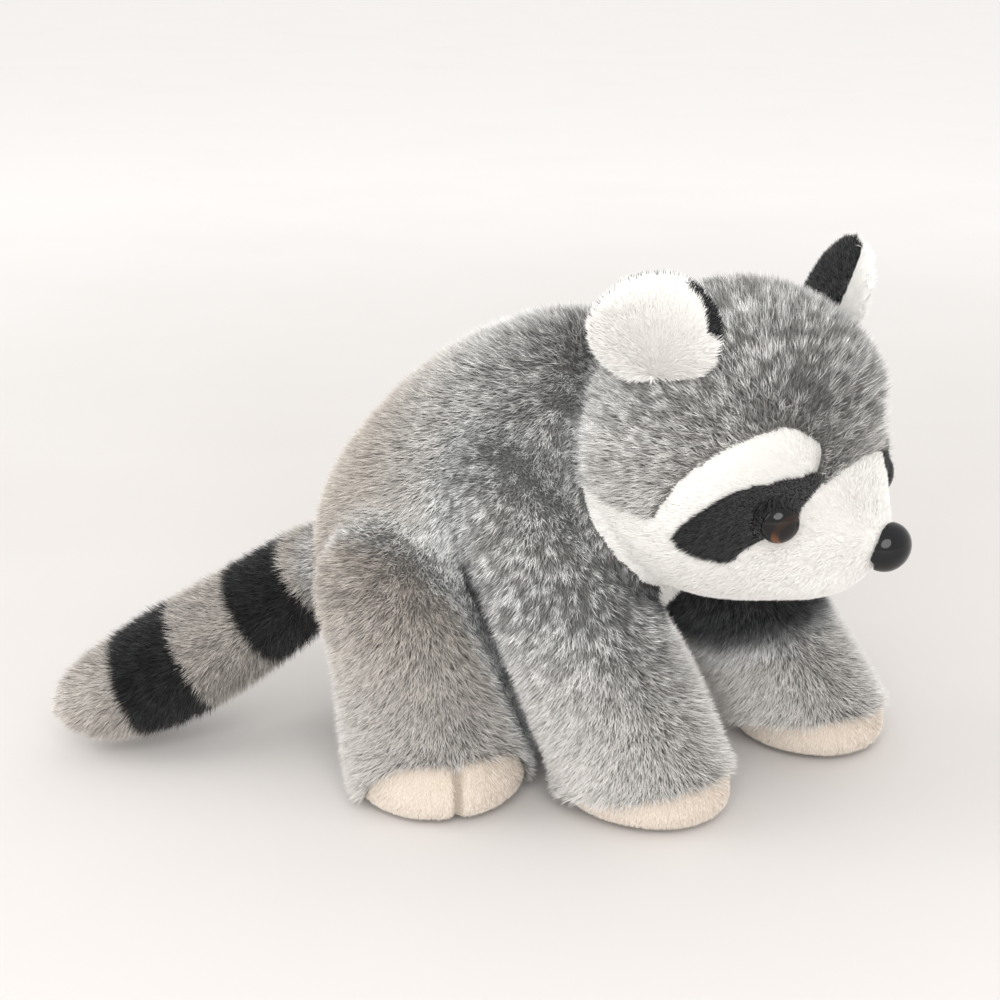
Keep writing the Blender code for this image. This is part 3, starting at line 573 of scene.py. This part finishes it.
def pile_tree():
    """Grows tufted strands on a skin. Each strand is one narrow blade from root to tip."""
    group = bpy.data.node_groups.new("pile", "GeometryNodeTree")
    sockets = (
        ("Skin", "NodeSocketGeometry"),
        ("Density", "NodeSocketFloat"),
        ("Length", "NodeSocketFloat"),
        ("Width", "NodeSocketFloat"),
        ("Lean", "NodeSocketFloat"),
        ("Ruffle", "NodeSocketFloat"),
        ("Tuft Size", "NodeSocketFloat"),
        ("Tufting", "NodeSocketFloat"),
        ("Speckle", "NodeSocketFloat"),
        ("Seed", "NodeSocketInt"),
        ("Yarn", "NodeSocketMaterial"),
    )
    for name, kind in sockets:
        group.interface.new_socket(name=name, in_out="INPUT", socket_type=kind)
    group.interface.new_socket(name="Pile", in_out="OUTPUT", socket_type="NodeSocketGeometry")
    given = Wire(group).node("NodeGroupInput")
    position = given.node("GeometryNodeInputPosition")

    def stored(name, kind="FLOAT"):
        return given.node("GeometryNodeInputNamedAttribute", {"data_type": kind}, {"Name": name})

    def store(geometry, name, value, kind="FLOAT", domain="POINT"):
        settings = {"data_type": kind, "domain": domain}
        values = {"Geometry": geometry, "Name": name, "Value": value}
        return given.node("GeometryNodeStoreNamedAttribute", settings, values)

    def chance(low, high, step):
        values = {2: low, 3: high, "Seed": given["Seed"] + step}
        return given.node("FunctionNodeRandomValue", {"data_type": "FLOAT"}, values, 1)

    points = given.node(
        "GeometryNodeDistributePointsOnFaces",
        {"distribute_method": "RANDOM"},
        {"Mesh": given["Skin"], "Density": given["Density"], "Seed": given["Seed"]},
    )
    normal = points["Normal"]

    def level_with_skin(way):
        return given.vector("SUBTRACT", way, normal.scaled(given.vector("DOT_PRODUCT", way, normal)))

    wander = {"Vector": position, "Scale": TUFT_WANDER_SCALE, "Detail": 1.0}
    wander = given.node("ShaderNodeTexNoise", {}, wander)["Color"]
    wander = given.vector("SUBTRACT", wander, (0.5, 0.5, 0.5))
    wandered = given.vector("ADD", position, wander.scaled(TUFT_WANDER))
    tufts = given.node(
        "ShaderNodeTexVoronoi",
        {"voronoi_dimensions": "3D"},
        {"Vector": wandered, "Scale": given.math("DIVIDE", 1.0, given["Tuft Size"])},
        "Distance",
    )
    towards = level_with_skin(given.vector("SUBTRACT", tufts["Position"], wandered))
    comb = given.vector("NORMALIZE", level_with_skin(stored("comb", "FLOAT_VECTOR")))
    ruffle = given.node(
        "FunctionNodeRandomValue",
        {"data_type": "FLOAT_VECTOR"},
        {0: (-1.0, -1.0, -1.0), 1: (1.0, 1.0, 1.0), "Seed": given["Seed"] + 1},
    )
    frost = stored("frost")
    pull = given["Tufting"] * frost * chance(0.5, 1.0, 5)
    direction = given.vector("ADD", normal, comb.scaled(given["Lean"]))
    direction = given.vector("ADD", direction, ruffle.scaled(given["Ruffle"]))
    pull = pull * given.math("DIVIDE", 1.0, given["Length"])
    direction = given.vector("ADD", direction, towards.scaled(pull))
    direction = given.vector("NORMALIZE", direction)
    turn = given.node(
        "FunctionNodeAlignRotationToVector",
        {"axis": "Z"},
        {"Vector": direction},
    )
    turn = given.node(
        "FunctionNodeAlignRotationToVector",
        {"axis": "Y", "pivot_axis": "Z"},
        {"Rotation": turn, "Vector": normal},
    )
    twist = {"Axis": (0.0, 0.0, 1.0), "Angle": chance(-STRAND_TWIST, STRAND_TWIST, 3)}
    twist = given.node("FunctionNodeAxisAngleToRotation", {}, twist)
    turn = given.node("FunctionNodeRotateRotation", {"rotation_space": "LOCAL"}, {0: turn, 1: twist})

    # Strands at a tuft's rim stay as dark as lower ones, so each tuft shows as one pale speck
    paleness = 1 - tufts.smooth(*TUFT_RIM) * frost * given["Speckle"]
    points = store(points, "paleness", paleness * chance(*STRAND_PALENESS, 6))
    points = store(points, "tone", chance(-STRAND_TONE, STRAND_TONE, 7))

    # A strand is a triangle: its root spans 1 across and its tip is at a height of 1
    blade = given.node("GeometryNodeMeshCircle", {"fill_type": "NGON"}, {"Vertices": 3, "Radius": 1.0})
    corner = given.node("ShaderNodeSeparateXYZ", values={0: position})
    height = (corner + 0.5) * (1 / 1.5)
    side = corner["Y"] * (1 / 1.7321)
    shape = given.node("ShaderNodeCombineXYZ", values={0: side, 2: height})
    blade = store(blade, "height", height)
    blade = store(blade, "side", side)
    blade = given.node("GeometryNodeSetPosition", {}, {"Geometry": blade, "Position": shape})

    length = given["Length"] * chance(*STRAND_LENGTHS, 2) * stored("long")
    size = given.node("ShaderNodeCombineXYZ", values={0: given["Width"], 1: given["Width"], 2: length})
    strands = given.node(
        "GeometryNodeInstanceOnPoints",
        {},
        {"Points": points, "Instance": blade, "Rotation": turn, "Scale": size},
    )
    strands = given.node("GeometryNodeRealizeInstances", {}, {"Geometry": strands})
    dye = stored("dye") + stored("tone") + stored("side") * STRAND_SIDE_TONE
    rise = stored("height") * stored("paleness")
    mark = given.node("ShaderNodeCombineXYZ", values={0: dye, 1: rise})
    strands = store(strands, "OFBake", mark, "FLOAT2", "CORNER")

    grain = given.node("ShaderNodeTexNoise", {}, {"Vector": position, "Scale": SKIN_GRAIN_SCALE})
    mark = given.node("ShaderNodeCombineXYZ", values={0: stored("dye") + grain * 0.02, 1: grain * 0.1})
    skin = store(given["Skin"], "OFBake", mark, "FLOAT2", "CORNER")

    both = Wire(group).node("GeometryNodeJoinGeometry")
    group.links.new(skin.socket, both.socket.node.inputs[0])
    group.links.new(strands.socket, both.socket.node.inputs[0])
    spot = given.node("ShaderNodeSeparateXYZ", values={0: position})
    lifted = {0: spot, 1: spot["Y"], 2: given.math("MAXIMUM", spot["Z"], FLOOR_GAP)}
    lifted = given.node("ShaderNodeCombineXYZ", values=lifted)
    both = given.node("GeometryNodeSetPosition", {}, {"Geometry": both, "Position": lifted})
    used = ("height", "side", "paleness", "tone", "dye", "comb", "frost", "long", "depth", "crease")
    for name in used:
        both = given.node("GeometryNodeRemoveAttribute", {}, {"Geometry": both, "Name": name})
    both = given.node("GeometryNodeSetMaterial", {}, {"Geometry": both, "Material": given["Yarn"]})
    given.node("NodeGroupOutput", values={"Pile": both})
    return group


pile = pile_tree()


def grow(node, skin, yarn, slot, comb, look, seed):
    """Makes the finished piece for a CAD node: its backing cloth with the pile on it.

    A look's fields are values over the skin: frost, how much the strands are tufted and specked;
    dye, the place along the yarn's colours, darkened by painted shade in the creases; long, a
    factor on the length; and shade, how much painted shade darkens the dye in the creases."""
    points = coordinates(skin)
    fields = {"frost": 1.0, "dye": 0.5, "long": 1.0}
    if "fields" in look:
        fields.update(look["fields"](points))
    crease = kept(skin, "crease")
    shade = fields.pop("shade", 1.0) * look.get("shade", 0)
    # Painted shade: the dye is darkened in the creases
    fields["dye"] = fields["dye"] * (1 - shade * step(crease, *CREASE_SHADE))
    fields["long"] = fields["long"] * (1 - CREASE_SHORTENING * crease)
    for name, values in fields.items():
        keep(skin, name, values)
    combed = np.broadcast_to(comb(points), (len(points), 3)).astype(np.float32)
    skin.attributes.new("comb", "FLOAT_VECTOR", "POINT").data.foreach_set("vector", combed.ravel())
    area = sum(face.area for face in skin.polygons)
    room = MOST_TRIANGLES - 2 * len(skin.polygons)
    obj = bpy.data.objects.new(node + "_pile", skin)
    bpy.context.scene.collection.objects.link(obj)
    grown = obj.modifiers.new("pile", "NODES")
    grown.node_group = pile
    given = {
        "Density": min(look["density"], room / area),
        "Length": look["length"],
        "Width": look["width"],
        "Lean": look["lean"],
        "Ruffle": look["ruffle"],
        "Tuft Size": look["tuft"],
        "Tufting": look["tufting"],
        "Speckle": look["speckle"],
        "Seed": seed,
        "Yarn": yarn,
    }
    for socket in pile.interface.items_tree:
        if socket.name in given:
            grown[socket.identifier] = given[socket.name]
    obj.data = evaluated(obj)
    obj.modifiers.remove(grown)
    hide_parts(node)
    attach(obj, "root")


def downward(points):
    return np.array([-0.35, 0.0, -1.0])


RUMP_TO_SHOULDER = (-0.075, 0.015)
BACK_TO_NECK = (-0.02, 0.045)


def body_fields(points):
    """From the rump forward the yarn turns from beige to grey, and from the back forward to specked."""
    grey = step(points[:, 0], *RUMP_TO_SHOULDER)
    specked = step(points[:, 0], *BACK_TO_NECK)
    return {"frost": 0.42 + 0.38 * specked, "dye": 0.82 - 0.48 * grey}


BODY_LOOK = {
    "density": 4.2e6,
    "length": 0.0076,
    "width": 0.00046,
    "lean": 0.60,
    "ruffle": 0.38,
    "tuft": 0.0034,
    "tufting": 0.6,
    "speckle": 0.68,
    "shade": 0.25,
    "fields": body_fields,
}
CHEST_LOOK = {
    "density": 4.2e6,
    "length": 0.0052,
    "width": 0.00045,
    "lean": 0.5,
    "ruffle": 0.3,
    "tuft": 0.005,
    "tufting": 0.3,
    "speckle": 0.0,
}
grow("torso", cloth["torso"], grey_pile, "grey_fur", downward, BODY_LOOK, 11)
grow("chest_panel", cloth["chest_panel"], white_pile, "chest_plush", downward, CHEST_LOOK, 12)


# Head and face
# The head is a stuffed ball of the same grey plush. Its face is sewn from short-pile panels, edge
# to edge: white muzzle, cheeks and brows, and a black mask round each eye.
black_pile = pile_finish(
    "black_pile",
    [(0.0, srgb(8, 8, 9)), (1.0, srgb(14, 14, 15))],
    [(0.0, srgb(46, 47, 49)), (1.0, srgb(68, 70, 71))],
    (0.2, 0.9),
    0.45,
    0.4,
)
nose_place = np.array(middle_of("nose"))
CROWN_FOOT = 0.35
CROWN_BELOW_TOP = 0.02
LASH_REACH = (0.0110, 0.0075)
LASH_LONGER = 1.2
LASH_LEAN = 4


def from_nose(points):
    return points - nose_place


def head_fields(points):
    """The crown is paler and more specked than the jowls."""
    low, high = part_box("head")
    foot = low.z + CROWN_FOOT * (high.z - low.z)
    crown = step(points[:, 2], foot, high.z - CROWN_BELOW_TOP)
    return {"frost": 0.5 + 0.45 * crown, "dye": 0.40 - 0.07 * crown}


HEAD_LOOK = {
    "density": 4.2e6,
    "length": 0.0072,
    "width": 0.00045,
    "lean": 0.55,
    "ruffle": 0.38,
    "tuft": 0.0034,
    "tufting": 0.55,
    "speckle": 0.68,
    "shade": 0.4,
    "fields": head_fields,
}
FACE_LOOK = {
    "density": 9.0e6,
    "length": 0.0023,
    "width": 0.00036,
    "lean": 1.7,
    "ruffle": 0.3,
    "tuft": 0.004,
    "tufting": 0.0,
    "speckle": 0.0,
}


def from_eye(points):
    """The way from the axis of the nearer eye to each point, and its length."""
    ways, lengths = [], []
    for side in ("right", "left"):
        middle = np.array(middle_of("eye_" + side))
        root = np.array(middle_of("eye_" + side + "_washer"))
        axis = (middle - root) / np.linalg.norm(middle - root)
        offset = points - middle
        ways.append(offset - np.outer(offset @ axis, axis))
        lengths.append(np.linalg.norm(ways[-1], axis=1))
    nearer = (lengths[1] < lengths[0])[:, None]
    return np.where(nearer, ways[1], ways[0]), np.minimum(*lengths)


def mask_fields(points):
    """The pile of the mask stands longer round the eye."""
    _, away = from_eye(points)
    return {"long": 1 + LASH_LONGER * step(away, *LASH_REACH)}


def over_eye(points):
    """The pile lies away from the nose, but round the eye it leans in over the rim of the button."""
    outward, away = from_eye(points)
    close = step(away, *LASH_REACH)[:, None]
    return from_nose(points) * (1 - close) - outward * close * LASH_LEAN


MASK_LOOK = {
    **FACE_LOOK,
    "length": 0.0030,
    "width": 0.0004,
    "lean": 1.0,
    "ruffle": 0.4,
    "fields": mask_fields,
}
grow("head", cloth["head"], grey_pile, "grey_fur", from_nose, HEAD_LOOK, 21)
for number, name in enumerate(list(LIMBS["head"])[1:]):
    dark = name.startswith("eye_mask")
    yarn = black_pile if dark else white_pile
    slot = "black_plush" if dark else "white_plush"
    comb, look = (over_eye, MASK_LOOK) if dark else (from_nose, FACE_LOOK)
    grow(name, cloth[name], yarn, slot, comb, look, 22 + number)


# Nose and eyes
# The nose and the two eyes are moulded plastic buttons on shanks, pushed through the cloth and
# locked from behind with washers before the head is stuffed.
def smooth_copy(name, material):
    """A rounder copy of a CAD node, with its faces divided and smooth."""
    mesh = modified(merged([name]), ("SUBSURF", {"levels": 1, "render_levels": 1}))
    mesh.shade_smooth()
    mesh.materials.clear()
    mesh.materials.append(material)
    obj = bpy.data.objects.new(name + "_button", mesh)
    bpy.context.scene.collection.objects.link(obj)
    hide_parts(name)
    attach(obj, "root")


# Each eye has a ring of amber at these distances from the eye's axis. Painted light makes the ring
# bright on its lower side only.
AMBER_INSIDE = (0.0044, 0.0052)
AMBER_OUTSIDE = (0.0062, 0.0068)
AMBER_WAVER = 0.0006
AMBER_LIT_SIDE = (-0.55, 0.0, -0.83)
AMBER_LIT_FADE = (0.0005, 0.0045)

nose_plastic, tree, shader = finish("nose_plastic", {"Specular IOR Level": 0.35})
where = tree.node("ShaderNodeTexCoord", output="Object")
grain = tree.node("ShaderNodeTexNoise", {}, {"Vector": where, "Scale": 260.0, "Detail": 3.0})
colour = grain.mixed(srgb(12, 13, 15), srgb(24, 25, 28))
nose_plastic.node_tree.links.new(colour.socket, shader.inputs["Base Color"])
rough = grain * 0.06 + 0.07
nose_plastic.node_tree.links.new(rough.socket, shader.inputs["Roughness"])
smooth_copy("nose", nose_plastic)

for side in ("right", "left"):
    middle = middle_of("eye_" + side)
    axis = (middle - middle_of("eye_" + side + "_washer")).normalized()
    gloss = {"Roughness": 0.08, "Specular IOR Level": 0.4}
    eye_plastic, tree, shader = finish("eye_plastic_" + side, gloss)
    where = tree.node("ShaderNodeTexCoord", output="Object")
    offset = tree.vector("SUBTRACT", where, middle)
    away = tree.vector("LENGTH", tree.vector("CROSS_PRODUCT", offset, axis))
    # Painted light: the amber ring is lit only on its lower side, as by light shining in through the
    # dome
    low = tree.vector("DOT_PRODUCT", offset, AMBER_LIT_SIDE).smooth(*AMBER_LIT_FADE)
    grain = tree.node("ShaderNodeTexNoise", {}, {"Vector": where, "Scale": 900.0, "Detail": 2.0})
    ring = (away + grain * AMBER_WAVER).smooth(*AMBER_INSIDE) - away.smooth(*AMBER_OUTSIDE)
    colour = (ring * (low * 0.9 + 0.1)).mixed(srgb(10, 8, 8), srgb(104, 62, 34))
    eye_plastic.node_tree.links.new(colour.socket, shader.inputs["Base Color"])
    smooth_copy("eye_" + side, eye_plastic)

washer_plastic, tree, shader = finish("washer_plastic", {"Roughness": 0.5})
where = tree.node("ShaderNodeTexCoord", output="Object")
grain = tree.node("ShaderNodeTexNoise", {}, {"Vector": where, "Scale": 400.0, "Detail": 3.0})
colour = grain.mixed(srgb(206, 204, 198), srgb(226, 224, 219))
washer_plastic.node_tree.links.new(colour.socket, shader.inputs["Base Color"])
for name in ("nose_washer", "eye_right_washer", "eye_left_washer"):
    nodes[name].data.materials.clear()
    nodes[name].data.materials.append(washer_plastic)


# Ears
# Each ear is two discs of plush, white in front and black behind, sewn round the rim and turned
# right side out. The seam doesn't run quite along the rim, so a little of one disc shows round it.
EAR_VOXEL = 0.0020
EAR_SMOOTHING = 2
EAR_GIVE = 0.0008
EAR_DEPTH = 0.0015
EAR_ACROSS = np.array((0.927, 0.375, 0.0))
EAR_UP = np.array((-0.116, 0.286, 0.951))
BLACK_RIM = 0.0200
BLACK_RIM_WIDER = 0.0045
BLACK_RIM_TURN = (110, 40)
BLACK_RIM_ENDS = (-12, 118)
WHITE_EDGE = 0.001
WHITE_EDGE_SLOPE = 0.4

EAR_LOOK = {
    "density": 6.5e6,
    "length": 0.0032,
    "width": 0.00048,
    "lean": 1.7,
    "ruffle": 0.3,
    "tuft": 0.004,
    "tufting": 0.3,
    "speckle": 0.0,
}
EAR_BACK_LOOK = {**EAR_LOOK, "length": 0.0026, "width": 0.00042, "lean": 0.7, "ruffle": 0.35}


def black_over_rim(across, up, owner):
    """On the right ear the black back rolls over the top and the inner side of the rim."""
    angle = np.degrees(np.arctan2(up, across))
    rim = BLACK_RIM - BLACK_RIM_WIDER * step(angle, *BLACK_RIM_TURN)
    along = (angle > BLACK_RIM_ENDS[0]) & (angle < BLACK_RIM_ENDS[1])
    return np.where((np.hypot(across, up) > rim) & along, 1, owner)


def white_over_edge(across, up, owner):
    """On the left ear the white front is folded round the forward edge."""
    return np.where(across > WHITE_EDGE + WHITE_EDGE_SLOPE * up, 0, owner)


for number, side in enumerate(("right", "left")):
    front, back = "ear_front_" + side, "ear_back_" + side
    root = np.array(middle_of(front))
    root[2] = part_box(front)[0].z
    middle = np.array((middle_of(front) + middle_of(back)) / 2)
    discs = black_over_rim if side == "right" else white_over_edge

    def from_root(points, root=root):
        return points - root

    def ear_seams(places, owner, names, nearest, discs=discs, middle=middle):
        offset = places - middle
        return discs(offset @ EAR_ACROSS, offset @ EAR_UP, owner)

    limb = {"ear": {front: EAR_DEPTH, back: EAR_DEPTH}}
    ear = cover(limb, {}, EAR_VOXEL, EAR_SMOOTHING, EAR_GIVE, ear_seams)
    grow(front, ear[front], white_pile, "white_plush", from_root, EAR_LOOK, 41 + number)
    grow(back, ear[back], black_pile, "black_plush", from_root, EAR_BACK_LOOK, 43 + number)


# Legs
# Each leg is a stuffed tube of grey plush with a pad of beige velour sewn in under the foot.
# The velour is shorter than the plush, and its colour is painted darker in the creases beside it, as
# painted shade.
beige_velour = pile_finish(
    "beige_velour",
    # The stops below 0.5, here and among the tips, stand for painted shade: the dye falls below 0.5 only
    # in creases
    [(0.0, srgb(176, 163, 148)), (0.5, srgb(222, 210, 197)), (1.0, srgb(226, 215, 203))],
    [(0.0, srgb(200, 188, 173)), (0.5, srgb(245, 236, 225)), (1.0, srgb(248, 240, 231))],
    (0.1, 0.8),
    0.08,
    0.3,
)
PAD_LOOK = {
    "density": 4.0e6,
    "length": 0.0018,
    "width": 0.00038,
    "lean": 1.2,
    "ruffle": 0.35,
    "tuft": 0.003,
    "tufting": 0.3,
    "speckle": 0.0,
    "shade": 0.8,
}


# Pairs of heights between which the yarn of a leg changes
FORE_FOOT = (0.10, 0.03)
FORE_TOP = (0.085, 0.115)
HIND_HIP = (0.02, 0.11)
HIND_TOP = (0.07, 0.10)

# The painted shade under the throat on the left foreleg starts at this height, higher where it is
# further forward
THROAT_FOOT = 0.038
THROAT_SLOPE = 0.35
THROAT_FRONT = 0.085
THROAT_RISE = 0.018
THROAT_SIDE = (0.062, 0.046)
THROAT_SHADE_DARKNESS = 0.97


def front_fields(points):
    """Towards the foot the yarn turns browner and less specked. Painted crease shade is weaker at the
    top.
    """
    low = step(points[:, 2], *FORE_FOOT)
    top = step(points[:, 2], *FORE_TOP)
    return {
        "frost": 1.0 - 0.6 * low - 0.2 * top,
        "dye": 0.28 + 0.15 * low + 0.06 * top,
        "shade": 1 - 0.75 * top,
    }


def far_front_fields_with_throat_shade(points):
    """Under the throat the left foreleg's dye is painted nearly black on its inner side: painted shade
    cast by the head, over fur that is dark at the roots.
    """
    fields = front_fields(points)
    low = THROAT_FOOT + THROAT_SLOPE * np.maximum(points[:, 0] - THROAT_FRONT, 0)
    # Painted shade cast by the head makes the dye nearly black here
    dark = step(points[:, 2] - low, 0, THROAT_RISE) * step(points[:, 1], *THROAT_SIDE)
    return {**fields, "dye": fields["dye"] * (1 - THROAT_SHADE_DARKNESS * dark)}


def hind_fields(points):
    """Towards the hip the yarn turns more beige and more specked. Painted crease shade is weaker at the
    top.
    """
    high = step(points[:, 2], *HIND_HIP)
    top = step(points[:, 2], *HIND_TOP)
    return {"frost": 0.38 + 0.30 * high, "dye": 0.48 + 0.16 * high, "shade": 1 - 0.5 * top}


LEG_FIELDS = {
    "front_right": front_fields,
    "front_left": far_front_fields_with_throat_shade,
    "hind_right": hind_fields,
    "hind_left": hind_fields,
}
for number, (leg, fields) in enumerate(LEG_FIELDS.items()):
    limb, pad = LIMBS[leg]
    look = {**HEAD_LOOK, "density": 4.0e6, "shade": 0.9, "fields": fields}
    grow(limb, cloth[limb], grey_pile, "grey_fur", downward, look, 51 + number)
    grow(pad, cloth[pad], beige_velour, "beige_velour", downward, PAD_LOOK, 61 + number)


# Tail
# The tail is a stuffed tube of short rings of plush, grey and black in turn, sewn end to end.
# Its pile is combed towards the tip.
def tailward(points):
    return np.array([-0.70, -0.40, -0.30])


def tail_fields(points):
    return {"frost": 0.5, "dye": 0.56}


TAIL_LOOK = {**HEAD_LOOK, "density": 4.0e6, "lean": 0.9, "tufting": 0.4, "fields": tail_fields}
for number, name in enumerate(LIMBS["tail"]):
    dark = name in ("tail_ring_1", "tail_ring_3")
    yarn, slot = (black_pile, "black_plush") if dark else (grey_pile, "grey_fur")
    grow(name, cloth[name], yarn, slot, tailward, TAIL_LOOK, 71 + number)


# Floor and light
# A plain pale floor, a white surround and two large soft lamps, as in a light tent. The floor is
# painted darker near the animal and paler with the distance from it, as painted shade.
FLOOR_REACH = 8
FLOOR_SHADE_FADE = (0.2, 1.6)
SURROUND_STRENGTH = 0.95
LAMP_SIZE = 1.2

corners = [(x * FLOOR_REACH, y * FLOOR_REACH, 0) for x, y in ((-1, -1), (1, -1), (1, 1), (-1, 1))]
floor_mesh = bpy.data.meshes.new("floor")
floor_mesh.from_pydata(corners, [], [(0, 1, 2, 3)])
floor = bpy.data.objects.new("floor", floor_mesh)
bpy.context.scene.collection.objects.link(floor)
floor_paint, tree, shader = finish("floor_cloth", {"Roughness": 0.9, "Specular IOR Level": 0.1})
where = tree.node("ShaderNodeTexCoord", output="Object")
grain = tree.node("ShaderNodeTexNoise", {}, {"Vector": where, "Scale": 6.0, "Detail": 2.0})
# Painted shade: the floor's colour is darker near the animal
far = tree.vector("LENGTH", where).smooth(*FLOOR_SHADE_FADE)
colour = (far + (grain - 0.5) * 0.2).mixed(srgb(222, 218, 215), srgb(255, 253, 251))
floor_paint.node_tree.links.new(colour.socket, shader.inputs["Base Color"])
floor_mesh.materials.append(floor_paint)

world = bpy.data.worlds.new("surround")
world.use_nodes = True
bpy.context.scene.world = world
background = world.node_tree.nodes["Background"]
background.inputs["Color"].default_value = srgb(250, 249, 248)
background.inputs["Strength"].default_value = SURROUND_STRENGTH


def lamp(name, spot, power):
    """A round lamp at a spot, turned towards the camera's target."""
    data = bpy.data.lights.new(name, "AREA")
    data.shape = "DISK"
    data.size = LAMP_SIZE
    data.energy = power
    obj = bpy.data.objects.new(name, data)
    bpy.context.scene.collection.objects.link(obj)
    obj.location = spot
    obj.rotation_euler = (Vector(spot) - CAMERA_TARGET).to_track_quat("Z", "Y").to_euler()


lamp("key", (0.55, -1.30, 0.95), 17)
lamp("fill", (-1.2, -0.7, 0.9), 6)

bpy.context.scene.view_settings.view_transform = "Standard"
